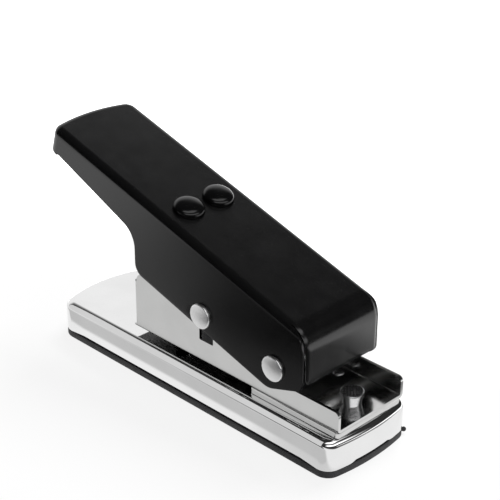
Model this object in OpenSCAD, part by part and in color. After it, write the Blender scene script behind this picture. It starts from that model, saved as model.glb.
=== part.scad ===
// Guitar pick punch: a hand lever drives a pick-shaped punch through a card slot into a die in a hollow base.
// Millimetres. The origin is on the base's underside, near its middle, +X points at the nose and +Z up.

/* [Base tray] */
// Length of the base over the crowns of its bowed ends
base_l = 149; // [140:0.5:170]
// Distance from the origin to the nose's crown
nose_reach = 73; // [70:0.5:80]
// Width of the base
base_w = 42.6; // [41:0.1:54]
// Height of the base's flat top above the table
base_h = 14.7; // [12.5:0.1:20]
// How far the nose's crown stands out past the corners
nose_bow = 2.3; // [1:0.1:4]
// How far the rear end's crown stands out past the corners
tail_bow = 4.4; // [2:0.1:6]
// Plan radius of the base's corners at the nose
corner_r = 5.5; // [4.5:0.25:8]
// Plan radius of the base's corners at the rear
tail_r = 7; // [4.5:0.25:9]
// Radius of the tray's rolled top edge
tray_edge_r = 3; // [2:0.25:3.5]
// Sheet thickness of the tray
tray_t = 1; // [0.8:0.1:1.4]
// Height of the shadow gap under the tray's straight sides
side_relief = 0.8; // [0.4:0.1:1.5]

/* [Bottom cover] */
// Height of the cover's visible rim
rim_h = 2.7; // [2:0.1:4]
// Thickness of the cover's floor
cover_t = 1.6; // [1:0.1:2.5]
// Height of the lip that plugs into the tray, above the rim
lip_h = 3.6; // [2:0.1:4]
// Thickness of the lip
lip_t = 1.4; // [1:0.1:2]
// Diameter of the finger nub at the nose
nub_d = 2; // [1.6:0.1:2.6]

/* [Channel] */
// Length of the channel
channel_l = 103.8; // [98:0.2:120]
// Width over the channel's walls
channel_w = 34.1; // [33:0.1:36]
// Sheet thickness of the channel
channel_t = 1.2; // [0.8:0.1:1.6]
// Outside radius of the channel's bends
bend_r = 1.6; // [1.6:0.1:3]
// Distance from the base's nose crown to the channel's front edge
nose_setback = 1.6; // [0.5:0.1:4]
// Height of the card slot between base and channel
slot_h = 2.6; // [2:0.1:5]
// Depth of the card slot's solid nose, from the channel's front edge
spacer_l = 42.1; // [40:0.1:46]
// Height of the walls at the nose
nose_wall_h = 8.2; // [6:0.1:11]
// Height of the walls at the rear
rear_wall_h = 23.7; // [22:0.1:26]
// Width of each folded tab at the rear
tab_w = 10.4; // [6:0.1:12]
// Height of the folded tabs
tab_h = 18.5; // [12:0.1:20]
// Radius of the walls' top corners at the nose
nose_corner_r = 2; // [1:0.25:3]
// Radius of the walls' top corners at the rear
rear_corner_r = 4; // [2:0.25:6]

/* [Pins] */
// Distance from the channel's front edge back to the pivot
pivot_back = 28; // [25:0.1:30]
// Height of the pivot above the channel's floor
pivot_h = 14; // [13:0.1:18]
// Distance from the pivot back to the drive pin
drive_arm = 36; // [34:0.1:37]
// Height of the drive pin above the pivot
drive_rise = 6.2; // [4:0.1:8]
// Diameter of both pins
pin_d = 6; // [5:0.1:6.5]
// Diameter of the pins' domed heads
head_d = 10; // [8.5:0.1:11]
// Height of the domed heads
head_h = 2.2; // [1.8:0.1:3]
// Height of the straight rim under each dome
head_rim = 1.2; // [0.3:0.1:1.5]
// Width of sheet left around a pin's head
ear_margin = 1; // [0.5:0.1:2]
// Lever travel from rest to the bottom of its stroke, in degrees
press_angle = 14; // [8:0.5:15]

/* [Lever] */
// Sheet thickness of the lever
lever_t = 1.2; // [0.8:0.1:1.6]
// Gap between the lever's walls and the channel's walls
lever_gap = 1.35; // [1:0.05:2]
// Slope of the lever's top at rest, in degrees
lever_tilt = 16.3; // [12:0.1:18]
// Height of the lever's top above the pivot, square to it
lever_top = 21; // [18:0.1:23]
// Depth of the side walls below the pivot, square to the top
lever_drop = 9.6; // [8:0.1:10]
// Length of the lever behind the pivot
lever_rear = 130.9; // [120:0.1:145]
// Level distance from the pivot to the front flap's face
lever_reach = 14.1; // [12:0.1:16]
// Level distance from the pivot back to the step in the side walls
step_reach = 71.6; // [69:0.1:73]
// Depth of the grip's walls at the step, below the top
grip_depth = 15.7; // [13:0.1:18]
// Depth of the rear lip
lip_depth = 9.1; // [6:0.1:11]
// Inside radius of the lever's folded edges
fold_r = 1.8; // [0.3:0.1:2]
// Radius of the bend above the front flap
nose_bend_r = 10; // [5:0.25:12]
// Plan radius of the rear corners
grip_corner_r = 5; // [4:0.25:7]
// Bow of the rear edge
grip_bow = 2.6; // [0.5:0.1:3.5]
// Height of the front flap's lower edge above the channel's floor
flap_h = 12.4; // [10:0.1:15]
// How far the side walls' front edges stand behind the flap's face
wall_setback = 0.9; // [0.4:0.1:1.1]
// Open seam between the flap and each side wall
seam_w = 0.25; // [0.15:0.05:0.4]
// Radius at the top of the step in the side walls
step_top_r = 9.5; // [6:0.5:11]
// Radius at the foot of the step
step_foot_r = 5; // [3:0.5:6]
// Radius of the side walls' lowest point, under the pivot
belly_r = 8; // [4:0.5:12]
// Radius of the side walls' lower front corners
chin_r = 4; // [2:0.25:6]

/* [Punch and die] */
// Length of a pick
pick_l = 30; // [27:0.25:31]
// Width of a pick
pick_w = 26; // [23:0.25:26]
// Radius of a pick's shoulders
shoulder_r = 7; // [5:0.25:9]
// Radius of a pick's tip
tip_r = 3; // [2:0.25:4]
// Height of the punch head
punch_h = 8.2; // [7:0.1:10]
// Rest height of the punch's cutting face above the slot's roof
punch_rest = 0.6; // [0.3:0.1:1]
// Length of the punch stem along the lever
stem_l = 12; // [11:0.1:14]
// Width of the punch stem
stem_w = 5.4; // [5:0.1:7]
// Height of the punch stem above the drive pin
stem_over = 10; // [6:0.1:12]
// Thickness of the die
die_t = 6; // [5.5:0.1:6.5]
// Thickness of the guide plate
guide_t = 5; // [4:0.1:6]
// Margin of the die and the guide around the pick, along the lever
frame_margin = 7.5; // [7:0.1:8]

/* [Springs] */
// Outside diameter of the springs
spring_d = 7; // [6.6:0.1:8]
// Wire diameter
wire_d = 1.2; // [0.9:0.05:1.3]
// Free room between the closed turns at a spring's ends
curl_room = 0.5; // [0.45:0.05:0.8]
// Turns of each spring
spring_turns = 15; // [10:1:20]
// Distance between the springs' axes
spring_pitch_y = 14.7; // [14:0.1:17]
// Distance from the pivot back to the springs, along the lever
spring_back = 63.5; // [62:0.1:66]
// Length of the spring studs inside the springs
stud_h = 5; // [3:0.1:8]
// Diameter of the button heads on the lever
button_d = 12; // [10:0.1:14]
// Height of the button heads
button_h = 3.3; // [2:0.1:4]

/* [Fasteners] */
// Diameter of the nose post at its top
post_d = 8.7; // [7:0.1:10]
// Diameter of the nose post at its foot
post_foot_d = 6.6; // [5.9:0.1:8]
// Height of the nose post above the channel's floor
post_h = 4.9; // [3:0.1:7]
// Chamfer around the nose post's top
post_chamfer = 0.4; // [0.2:0.1:0.8]
// Height of the post's riveted foot under the base's top
post_foot_h = 1; // [0.5:0.1:1.5]
// Distance from the channel's front edge back to the post
post_back = 8.8; // [7:0.1:11]
// Shank diameter of the post
post_shank_d = 5; // [3:0.1:5.5]
// Head diameter of the floor rivets
rivet_d = 4.2; // [3.6:0.1:7]
// Head height of the floor rivets
rivet_h = 0.7; // [0.5:0.1:1.5]
// Shank diameter of the floor rivets
rivet_shank_d = 2.8; // [2.2:0.1:4]
// Distance from the channel's front edge back to the floor rivets
rivet_back = 25.2; // [22:0.1:27]
// Distance of the floor rivets from the centre line
rivet_y = 11.5; // [8:0.1:12]
// Thread diameter of the countersunk screws
screw_d = 3; // [2.5:0.1:3]
// Head diameter of the countersunk screws
screw_head_d = 5.2; // [4.5:0.1:5.4]
// Length of the countersunk screws
screw_l = 4.4; // [3.5:0.1:4.8]
// Width of steel left around a countersunk head
screw_edge = 1; // [0.6:0.1:1.2]

/* [Fits] */
// Radial play of a turning or sliding fit
running_fit = 0.06; // [0.03:0.01:0.1]
// Play around a fastener in its hole
hole_fit = 0.05; // [0.02:0.01:0.1]
// Free room between pieces that pass each other
free_room = 0.3; // [0.2:0.05:0.4]

/* [Hidden] */
$fn = 64;

// Steps of an arc in an outline, of a rolled edge and of a long bow
arc_n = 6;
roll_n = 4;
bow_n = 8;
// Overrun of a cut past the surface that it opens
over = 1;

// Levels
tray_foot = rim_h + running_fit;
roof_z = base_h + slot_h;
floor_z = roof_z + channel_t;
pivot_z = floor_z + pivot_h;
drive_z = pivot_z + drive_rise;

// Places along the length
tail_reach = base_l - nose_reach;
nose_x = nose_reach - nose_setback;
rear_x = nose_x - channel_l;
pivot_x = nose_x - pivot_back;
drive_x = pivot_x - drive_arm;

// Half widths
channel_in = channel_w / 2 - channel_t;
lever_in = channel_w / 2 + lever_gap;
lever_out = lever_in + lever_t;
lever_edge_r = lever_t + fold_r;

// Stroke of the drive pin: how far it drops and how far it wanders along the slot
arm_angle = atan2(drive_rise, drive_arm);
arm_r = norm([drive_arm, drive_rise]);
stroke = arm_r * (sin(arm_angle) - sin(arm_angle - press_angle));
wander = arm_r - drive_arm;
drive_mid = drive_x - wander / 2;
slot_w = pin_d + wander + 2 * free_room;
slot_foot = drive_z - stroke - pin_d / 2 - free_room;

// Punch levels
punch_z = roof_z + punch_rest;
stem_z = punch_z + punch_h;
stem_top = drive_z + stem_over;

// Spring geometry: the axis is an arc from the level floor to the sloping lever
spring_r = (spring_d - wire_d) / 2;
stud_d = spring_d - 2 * wire_d - 2 * free_room;
seat = from_lever([-spring_back, lever_top - lever_t]);
axis_r = (seat[1] - floor_z) / sin(lever_tilt);
spring_x = seat[0] - axis_r * (1 - cos(lever_tilt));
axis_l = axis_r * lever_tilt * PI / 180;
closed_pitch = wire_d + curl_room;
seat_play = 0.05;
curl_rings = 8;
wire_sides = 6;

// Depth of the lever's side walls at the step's top
step_top = lever_top - grip_depth;

// Outlines of the flat pieces
frame_l = pick_l + 2 * frame_margin;
frame_screw_x = frame_l / 2 - screw_head_d / 2 - screw_edge;
frame_screw_y = channel_in - free_room - screw_head_d / 2 - screw_edge;
guide_w = 2 * (channel_in - free_room);
flange_w = base_w - 2 * tray_edge_r - 2 * free_room;
boss_margin = 2;

// Points of an arc about c, from angle a0 to a1
function arc(c, r, a0, a1, n = arc_n) =
    [for (i = [0:n]) let (a = a0 + (a1 - a0) * i / n) [c[0] + r * cos(a), c[1] + r * sin(a)]];

// Unit vector
function unit(v) = v / norm(v);

// Place in the side view of a point given along and square to the lever, from the pivot
function from_lever(p) = [
    pivot_x + p[0] * cos(lever_tilt) + p[1] * sin(lever_tilt),
    pivot_z - p[0] * sin(lever_tilt) + p[1] * cos(lever_tilt)
];

// Distance along the lever of a point at height h square to it and a level distance from the pivot
function along_lever(level, h) = (level - h * sin(lever_tilt)) / cos(lever_tilt);

// Corner q of an outline, rounded by its third value
function corner(p, q, s) =
    q[2] == 0 ? [[q[0], q[1]]] :
    let (
        c = [q[0], q[1]],
        u = unit([p[0], p[1]] - c),
        w = unit([s[0], s[1]] - c),
        half = acos(u * w) / 2,
        m = c + unit(u + w) * q[2] / sin(half),
        e0 = c + u * q[2] / tan(half) - m,
        e1 = c + w * q[2] / tan(half) - m,
        a0 = atan2(e0[1], e0[0]),
        turn = (atan2(e1[1], e1[0]) - a0 + 540) % 360 - 180
    )
    arc(m, q[2], a0, a0 + turn);

// Outline through corners given as [x, y, radius]
function rounded(v) =
    [for (i = [0:len(v) - 1]) each corner(v[(i + len(v) - 1) % len(v)], v[i], v[(i + 1) % len(v)])];

// Rectangle with rounded corners, centred
function plate(l, w, r) =
    rounded([[l / 2, -w / 2, r], [l / 2, w / 2, r], [-l / 2, w / 2, r], [-l / 2, -w / 2, r]]);

// Middle of the fillet between a straight side and a bowed end
function fillet_at(crown, half, bow, r) =
    let (big = (half * half + bow * bow) / (2 * bow))
    [crown - big + sqrt(pow(big - r, 2) - pow(half - r, 2)), half - r];

// Bowed end with rounded corners, moved in by d, from the -Y side to the +Y side
function bowed_end(crown, half, bow, r, d) =
    let (
        big = (half * half + bow * bow) / (2 * bow),
        f = fillet_at(crown, half, bow, r),
        a = atan2(f[1], f[0] - crown + big)
    )
    concat(
        arc([f[0], -f[1]], r - d, -90, -a),
        [for (i = [1:bow_n - 1]) arc([crown - big, 0], big - d, -a, a, bow_n)[i]],
        arc(f, r - d, a, 90)
    );

// Same points turned half round
function turned(v) = [for (p = v) -p];

// Plan of the base, moved in by d
function base_outline(d) =
    concat(
        bowed_end(nose_reach, base_w / 2, nose_bow, corner_r, d),
        turned(bowed_end(tail_reach, base_w / 2, tail_bow, tail_r, d))
    );

// Plan of the lever, moved in by d and open past its front
function lever_outline(d) =
    let (front = lever_reach + lever_top)
    concat(
        [[front, d - lever_out], [front, lever_out - d]],
        turned(bowed_end(lever_rear, lever_out, grip_bow, grip_corner_r, d))
    );

// Pick outline, grown by d, with its tip towards the rear
function pick_outline(d) =
    let (
        s = [pick_l / 2 - shoulder_r, pick_w / 2 - shoulder_r],
        t = [tip_r - pick_l / 2, 0],
        v = s - t,
        b = atan2(v[1], v[0]) + acos((tip_r - shoulder_r) / norm(v))
    )
    concat(
        arc([s[0], -s[1]], shoulder_r + d, -b, 0),
        arc(s, shoulder_r + d, 0, b),
        arc(t, tip_r + d, b, 360 - b)
    );

// Insets and levels of a wall that rolls over into a flat top, as [inset, z]
function roll(bottom, top, r, d) =
    concat(
        [[d, bottom]],
        [for (i = [0:roll_n]) let (a = 90 * i / roll_n) [d + r * (1 - cos(a)), top - r + r * sin(a)]]
    );

// Outline lifted to level z
function ring(v, z) = [for (p = v) [p[0], p[1], z]];

// A spring at turn u: [wire centre, direction away from the axis]
function spring_frame(u) =
    let (
        rise_a = (axis_l - wire_d - 2 * seat_play - 2 * closed_pitch) / (spring_turns - 2),
        h = wire_d / 2 + seat_play + closed_pitch * min(u, 1) + rise_a * max(0, min(u, spring_turns - 1) - 1)
            + closed_pitch * max(0, u - spring_turns + 1),
        f = lever_tilt * h / axis_l,
        mid = [spring_x + axis_r * (1 - cos(f)), 0, floor_z + axis_r * sin(f)],
        out = [cos(360 * u) * cos(f), sin(360 * u), -cos(360 * u) * sin(f)]
    )
    [mid + spring_r * out, out];

// Wire cross-section about a centre, square to the direction of the wire
function wire_ring(c, out, dir) =
    let (b = cross(unit(dir), out))
    [for (i = [0:wire_sides - 1])
        let (a = 360 * i / wire_sides) c + wire_d / 2 * (cos(a) * out + sin(a) * b)];

// All cross-sections of a spring: a straight stub, the turns and a straight stub
function spring_rings() =
    let (
        n = spring_turns * curl_rings,
        du = 1 / curl_rings / 4,
        f = [for (k = [0:n]) spring_frame(k / curl_rings)],
        before = [for (k = [0:n]) spring_frame(k / curl_rings - du)[0]],
        after = [for (k = [0:n]) spring_frame(k / curl_rings + du)[0]],
        t = [for (k = [0:n]) unit(after[k] - before[k])]
    )
    concat(
        [wire_ring(f[0][0] - wire_d * t[0], f[0][1], t[0])],
        [for (k = [0:n]) wire_ring(f[k][0], f[k][1], t[k])],
        [wire_ring(f[n][0] + wire_d * t[n], f[n][1], t[n])]
    );

spring_points = spring_rings();

// Least gap between one turn of a spring and the next, over the points of their cross-sections
spring_gap = min([
    for (k = [0:len(spring_points) - curl_rings - 2], j = [curl_rings - 1:curl_rings + 1])
        for (p = spring_points[k], q = spring_points[k + j]) norm(p - q)
]);
echo(spring_gap = spring_gap);

// Solid through a stack of rings of equal length, of triangles, with flat ends
module skin(rings) {
    n = len(rings[0]);
    m = len(rings);
    sides = [
        for (k = [0:m - 2], i = [0:n - 1])
            let (a = k * n + i, b = k * n + (i + 1) % n)
            each [[a, a + n, b + n], [a, b + n, b]]
    ];
    ends = [[for (i = [0:n - 1]) i], [for (i = [n - 1:-1:0]) (m - 1) * n + i]];
    polyhedron(points = [for (r = rings) each r], faces = concat(sides, ends));
}

// Prism of a side view, centred on the middle plane
module side_prism(v, w) {
    rotate([90, 0, 0]) linear_extrude(w, center = true) polygon(v);
}

// Prism of a plan view from level z
module plan_prism(v, z, h) {
    translate([0, 0, z]) linear_extrude(h) polygon(v);
}

// Round bar across the middle plane
module cross_bar(x, z, d, w) {
    translate([x, 0, z]) rotate([90, 0, 0]) cylinder(d = d, h = w, center = true);
}

// Children laid out in the lever's own frame: X along its top, Z square to it
module on_lever() {
    translate([pivot_x, 0, pivot_z]) rotate([0, lever_tilt, 0]) children();
}

// Children at both springs' axes
module both_springs() {
    for (s = [-1, 1]) translate([0, s * spring_pitch_y / 2, 0]) children();
}

// Children at the four screws that the die and the guide have in the same places
module frame_screws() {
    for (sx = [-1, 1], sy = [-1, 1])
        translate([drive_x + sx * frame_screw_x, sy * frame_screw_y, 0]) children();
}

// Countersunk screw pointing down, its head's flat at level 0, grown by d
module screw(d) {
    slope = (screw_head_d - screw_d) / 2;
    translate([0, 0, -slope]) cylinder(d1 = screw_d + 2 * d, d2 = screw_head_d + 2 * d, h = slope);
    translate([0, 0, -screw_l - d]) cylinder(d = screw_d + 2 * d, h = screw_l + d);
}

// Domed pin head, its flat at level 0
module dome_head() {
    cap_h = head_h - head_rim;
    ball = (head_d * head_d / 4 + cap_h * cap_h) / (2 * cap_h);
    cylinder(d = head_d, h = head_h - cap_h);
    intersection() {
        translate([0, 0, head_h - ball]) sphere(ball);
        cylinder(d = head_d, h = head_h);
    }
}

// Children on the lever's side at a pin, facing -Y for s = -1 and +Y for s = 1
module at_pin(x, z, s) {
    translate([x, s * lever_out, z]) rotate([-90 * s, 0, 0]) children();
}

// Nose fasteners: children at the post, then at the two rivets
module at_post() {
    translate([nose_x - post_back, 0, 0]) children();
}

module at_rivets() {
    for (s = [-1, 1]) translate([nose_x - rivet_back, s * rivet_y, 0]) children();
}

// Holes of the nose fasteners through whatever they clamp
module nose_holes() {
    h = roof_z + channel_t;
    at_post() cylinder(d = post_shank_d + 2 * hole_fit, h = h + over);
    at_rivets() cylinder(d = rivet_shank_d + 2 * hole_fit, h = h + over);
}

// Chrome tray: rolled edge, hollow inside, cut-outs for the die and the fasteners, relieved lower edge
module base_tray() {
    f = fillet_at(nose_reach, base_w / 2, nose_bow, corner_r) - [corner_r, corner_r] / 2;
    g = fillet_at(tail_reach, base_w / 2, tail_bow, tail_r) - [tail_r, tail_r] / 2;
    color("gainsboro") difference() {
        skin([for (s = roll(tray_foot, base_h, tray_edge_r, 0)) ring(base_outline(s[0]), s[1])]);
        skin([for (s = roll(tray_foot - over, base_h - tray_t, tray_edge_r - tray_t, tray_t))
            ring(base_outline(s[0]), s[1])]);
        translate([-g[0], -base_w / 2 - over, 0])
            cube([g[0] + f[0], base_w + 2 * over, tray_foot + side_relief]);
        translate([-tail_reach - over, -g[1], 0])
            cube([base_l + 2 * over, 2 * g[1], tray_foot + side_relief]);
        translate([drive_x, 0, 0])
            plan_prism(plate(pick_l + 2 * boss_margin + 2 * hole_fit, pick_w + 2 * boss_margin + 2 * hole_fit,
                shoulder_r + boss_margin), 0, base_h + over);
        frame_screws() translate([0, 0, base_h]) screw(hole_fit);
        nose_holes();
    }
}

// Black cover: floor, flush rim, plug-in lip and a finger nub at the nose
module base_cover() {
    lip_in = tray_t + running_fit;
    f = fillet_at(nose_reach, base_w / 2, nose_bow, corner_r);
    nub =(corner_r + nub_d / 2 + free_room) / sqrt(2);
    color([0.2, 0.2, 0.2]) difference() {
        union() {
            plan_prism(base_outline(0), 0, rim_h);
            plan_prism(base_outline(lip_in), 0, rim_h + lip_h);
            translate([f[0] + nub, f[1] + nub, rim_h - nub_d / 2]) sphere(d = nub_d);
            translate([f[0], f[1], rim_h - nub_d / 2]) rotate([0, 90, 45])
                cylinder(d = nub_d - free_room, h = nub * sqrt(2));
        }
        plan_prism(base_outline(lip_in + lip_t), cover_t, rim_h + lip_h);
    }
}

// Steel die: a boss flush with the tray's top, a flange below it and the pick-shaped hole
module die_block() {
    color("slategray") difference() {
        union() {
            translate([drive_x, 0, 0]) plan_prism(plate(pick_l + 2 * boss_margin, pick_w + 2 * boss_margin,
                shoulder_r + boss_margin), base_h - die_t, die_t);
            translate([drive_x, 0, 0])
                plan_prism(plate(frame_l, flange_w, boss_margin), base_h - die_t, die_t - tray_t);
        }
        translate([drive_x, 0, 0]) plan_prism(pick_outline(running_fit), 0, base_h + over);
        frame_screws() translate([0, 0, base_h]) screw(hole_fit);
    }
}

// Four countersunk screws that hold the die under the tray's top
module die_screws() {
    color("silver") frame_screws() translate([0, 0, base_h]) screw(0);
}

// Plate that closes the card slot at the nose and carries the channel
module nose_spacer() {
    margin = free_room;
    corner = bend_r;
    color("lightgray") difference() {
        translate([nose_x - margin - spacer_l / 2, 0, 0])
            plan_prism(plate(spacer_l, channel_w - 2 * margin, corner), base_h, slot_h);
        nose_holes();
    }
}

// Side view of the channel's walls, with the ears around the pivot and the drive pin
function wall_profile() =
    let (ear = head_d / 2 + ear_margin)
    rounded([
        [nose_x, roof_z, 0],
        [nose_x, roof_z + nose_wall_h, nose_corner_r],
        [pivot_x + ear, roof_z + nose_wall_h, nose_corner_r],
        [pivot_x + ear, pivot_z + ear, ear],
        [drive_x + ear, drive_z + ear, ear],
        [drive_x - ear, drive_z + ear, ear],
        [rear_x + bend_r, roof_z + rear_wall_h, rear_corner_r],
        [rear_x + bend_r, roof_z, 0]
    ]);

// Cross-section of the channel: a U of sheet with round bends, drawn as [y, z]
function channel_section() =
    let (w = channel_w / 2, top = 2 * rear_wall_h + slot_h, t = channel_t)
    rounded([
        [-w, roof_z, bend_r], [w, roof_z, bend_r], [w, roof_z + top, 0], [w - t, roof_z + top, 0],
        [w - t, roof_z + t, bend_r - t], [t - w, roof_z + t, bend_r - t], [t - w, roof_z + top, 0],
        [-w, roof_z + top, 0]
    ]);

// Plan of one folded tab: the end of a wall, the bend and the tab
function tab_plan(s) =
    let (w = channel_w / 2, x = rear_x, t = channel_t, g = w - tab_w, e = bend_r)
    [for (p = rounded([
        [x + e + over, w, 0], [x, w, e], [x, g, 0],
        [x + t, g, 0], [x + t, w - t, e - t], [x + e + over, w - t, 0]
    ])) [p[0], s * p[1]]];

// Chromed channel: floor, side walls, rear tabs, drive slots and holes
module channel_frame() {
    color("silver") difference() {
        union() {
            intersection() {
                translate([nose_x, 0, 0]) rotate([90, 0, -90]) linear_extrude(channel_l)
                    polygon(channel_section());
                union() {
                    side_prism(wall_profile(), channel_w + over);
                    translate([rear_x, -channel_in, roof_z]) cube([channel_l, 2 * channel_in, channel_t]);
                }
            }
            for (s = [-1, 1]) plan_prism(tab_plan(s), floor_z + free_room, tab_h);
        }
        cross_bar(pivot_x, pivot_z, pin_d + 2 * running_fit, channel_w + over);
        translate([drive_mid - slot_w / 2, -channel_w, slot_foot])
            cube([slot_w, 2 * channel_w, drive_z + pin_d / 2 + free_room - slot_foot]);
        translate([drive_x, 0, 0]) plan_prism(pick_outline(free_room), roof_z - over, channel_t + 2 * over);
        frame_screws() translate([0, 0, roof_z]) mirror([0, 0, 1]) screw(hole_fit);
        both_springs() translate([spring_x, 0, roof_z - over])
            cylinder(d = stud_d + 2 * hole_fit, h = channel_t + 2 * over);
        nose_holes();
    }
}

// Steel post at the nose: a tapered head, a shank through the stack and a peened foot
module front_post() {
    h = floor_z - base_h + tray_t;
    color("whitesmoke") at_post() {
        translate([0, 0, floor_z]) cylinder(d1 = post_foot_d, d2 = post_d, h = post_h - post_chamfer);
        translate([0, 0, floor_z + post_h - post_chamfer])
            cylinder(d1 = post_d, d2 = post_d - 2 * post_chamfer, h = post_chamfer);
        translate([0, 0, floor_z - h]) cylinder(d = post_shank_d, h = h);
        translate([0, 0, floor_z - h - post_foot_h]) cylinder(d = post_foot_d, h = post_foot_h);
    }
}

// Two low rivets under the lever's nose
module floor_rivets() {
    h = floor_z - base_h + tray_t;
    color("whitesmoke") at_rivets() {
        translate([0, 0, floor_z]) cylinder(d1 = rivet_d, d2 = rivet_shank_d, h = rivet_h);
        translate([0, 0, floor_z - h]) cylinder(d = rivet_shank_d, h = h);
        translate([0, 0, floor_z - h - rivet_h]) cylinder(d = rivet_d, h = rivet_h);
    }
}

// Guide plate on the channel's floor, with a sliding fit around the punch
module punch_guide() {
    color("slategray") difference() {
        translate([drive_x, 0, 0]) plan_prism(plate(frame_l, guide_w, boss_margin), floor_z, guide_t);
        translate([drive_x, 0, 0]) plan_prism(pick_outline(running_fit), floor_z - over, guide_t + 2 * over);
        frame_screws() translate([0, 0, roof_z]) mirror([0, 0, 1]) screw(hole_fit);
    }
}

// Four screws, flush with the slot's roof, that hold the guide plate
module guide_screws() {
    color("silver") frame_screws() translate([0, 0, roof_z]) mirror([0, 0, 1]) screw(0);
}

// Two studs in the channel's floor that centre the springs
module spring_studs() {
    color("silver") both_springs() translate([spring_x, 0, roof_z])
        cylinder(d = stud_d, h = channel_t + stud_h);
}

// Return springs
module spring(s) {
    color("lightsteelblue") translate([0, s * spring_pitch_y / 2, 0]) skin(spring_points);
}

module spring_left() {
    spring(1);
}

module spring_right() {
    spring(-1);
}

// Side view of the lever in its own frame, with its front a level distance ahead of the pivot
function lever_profile(reach) =
    rounded([
        [along_lever(reach, lever_top), lever_top, nose_bend_r],
        [-2 * lever_rear, lever_top, 0],
        [-2 * lever_rear, lever_top - lip_depth, 0],
        [-lever_rear, lever_top - lip_depth, 0],
        [along_lever(-step_reach, step_top), step_top, step_top_r],
        [along_lever(-step_reach, -lever_drop), -lever_drop, step_foot_r],
        [0, -lever_drop, belly_r],
        [along_lever(reach, 0), 0, chin_r]
    ]);

// Side view of the lever's hollow, open at the bottom
function hollow_profile() =
    let (front = lever_reach - lever_t, low = -2 * lever_drop)
    rounded([
        [along_lever(front, lever_top - lever_t), lever_top - lever_t, nose_bend_r - lever_t],
        [-2 * lever_rear, lever_top - lever_t, 0],
        [-2 * lever_rear, low, 0],
        [along_lever(front, low), low, 0]
    ]);

// Black lever: a drawn sheet shell with rolled edges, a rear lip and a front flap with open seams
module lever_shell() {
    face_x = pivot_x + lever_reach;
    flap_z = floor_z + flap_h;
    seam_bends = 1.2;
    seam_top = pivot_z + lever_top - seam_bends * nose_bend_r;
    cut_x = face_x - 2 * lever_t;
    low = -2 * lever_drop;
    color([0.08, 0.08, 0.08]) difference() {
        on_lever() difference() {
            intersection() {
                skin([for (s = roll(low, lever_top, lever_edge_r, 0)) ring(lever_outline(s[0]), s[1])]);
                union() {
                    side_prism(lever_profile(lever_reach - wall_setback), 2 * lever_out + over);
                    side_prism(lever_profile(lever_reach), 2 * (lever_in - seam_w));
                }
            }
            intersection() {
                skin([for (s = roll(low - over, lever_top - lever_t, fold_r, lever_t))
                    ring(lever_outline(s[0]), s[1])]);
                side_prism(hollow_profile(), 2 * lever_out + over);
            }
        }
        translate([cut_x, -lever_in, pivot_z - 2 * lever_drop])
            cube([3 * lever_t, 2 * lever_in, flap_z - pivot_z + 2 * lever_drop]);
        for (y = [-lever_in, lever_in - seam_w])
            translate([cut_x, y, flap_z - over]) cube([3 * lever_t, seam_w, seam_top - flap_z + over]);
        cross_bar(pivot_x, pivot_z, pin_d + 2 * hole_fit, 2 * lever_out + over);
        cross_bar(drive_x, drive_z, pin_d + 2 * hole_fit, 2 * lever_out + over);
        both_springs() on_lever() translate([-spring_back, 0, lever_top - lever_t - over])
            cylinder(d = stud_d + 2 * hole_fit, h = lever_t + 2 * over);
    }
}

// Two button rivets on the lever whose shanks centre the springs
module spring_buttons() {
    edge = button_h / 2;
    color([0.1, 0.1, 0.1]) both_springs() on_lever() translate([-spring_back, 0, lever_top]) {
        cylinder(d = button_d, h = button_h - edge);
        rotate_extrude() intersection() {
            translate([button_d / 2 - edge, button_h - edge]) circle(edge);
            square([button_d, button_h]);
        }
        cylinder(d = button_d - 2 * edge, h = button_h);
        translate([0, 0, -lever_t - stud_h]) cylinder(d = stud_d, h = lever_t + stud_h);
    }
}

// Headed pin from the -Y side, its far end in a cap on the +Y side
module headed_pin(x, z) {
    at_pin(x, z, -1) dome_head();
    translate([x, -lever_out, z]) rotate([-90, 0, 0]) cylinder(d = pin_d, h = 2 * lever_out + head_h / 2);
}

// Domed cap pressed on a pin's far end
module pin_cap(x, z) {
    at_pin(x, z, 1) difference() {
        dome_head();
        translate([0, 0, -over]) cylinder(d = pin_d + 2 * hole_fit, h = head_h / 2 + hole_fit + over);
    }
}

module pivot_pin() {
    color("white") headed_pin(pivot_x, pivot_z);
}

module pivot_cap() {
    color("white") pin_cap(pivot_x, pivot_z);
}

module drive_pin() {
    color("white") headed_pin(drive_x, drive_z);
}

module drive_cap() {
    color("white") pin_cap(drive_x, drive_z);
}

// Two washers on the pivot, between the lever's walls and the channel
module pivot_washers() {
    t = lever_gap - free_room;
    color("silver") for (s = [-1, 1]) translate([pivot_x, s * (lever_in - t / 2), pivot_z]) rotate([90, 0, 0])
        difference() {
            cylinder(d = head_d + 1, h = t, center = true);
            cylinder(d = pin_d + 2 * hole_fit, h = t + over, center = true);
        }
}

// Pick-shaped steel punch with a recess for the stem's screw
module punch_head() {
    color("lightslategray") difference() {
        translate([drive_x, 0, 0]) plan_prism(pick_outline(0), punch_z, punch_h);
        translate([drive_x, 0, punch_z]) mirror([0, 0, 1]) screw(hole_fit);
        translate([drive_x, 0, punch_z]) cylinder(d = screw_d + 2 * hole_fit, h = punch_h + over);
    }
}

// Flat stem from the punch up to the drive pin
module punch_stem() {
    eye = pin_d + 2 * running_fit;
    color("dimgray") difference() {
        translate([drive_x - stem_l / 2, -stem_w / 2, stem_z]) cube([stem_l, stem_w, stem_top - stem_z]);
        cross_bar(drive_x, drive_z, eye, stem_w + over);
        cross_bar(drive_x - wander, drive_z, eye, stem_w + over);
        translate([drive_x - wander, -stem_w, drive_z - eye / 2]) cube([wander, 2 * stem_w, eye]);
        translate([drive_x, 0, stem_z - over]) cylinder(d = screw_d + 2 * hole_fit, h = screw_l + 2 * over);
    }
}

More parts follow.
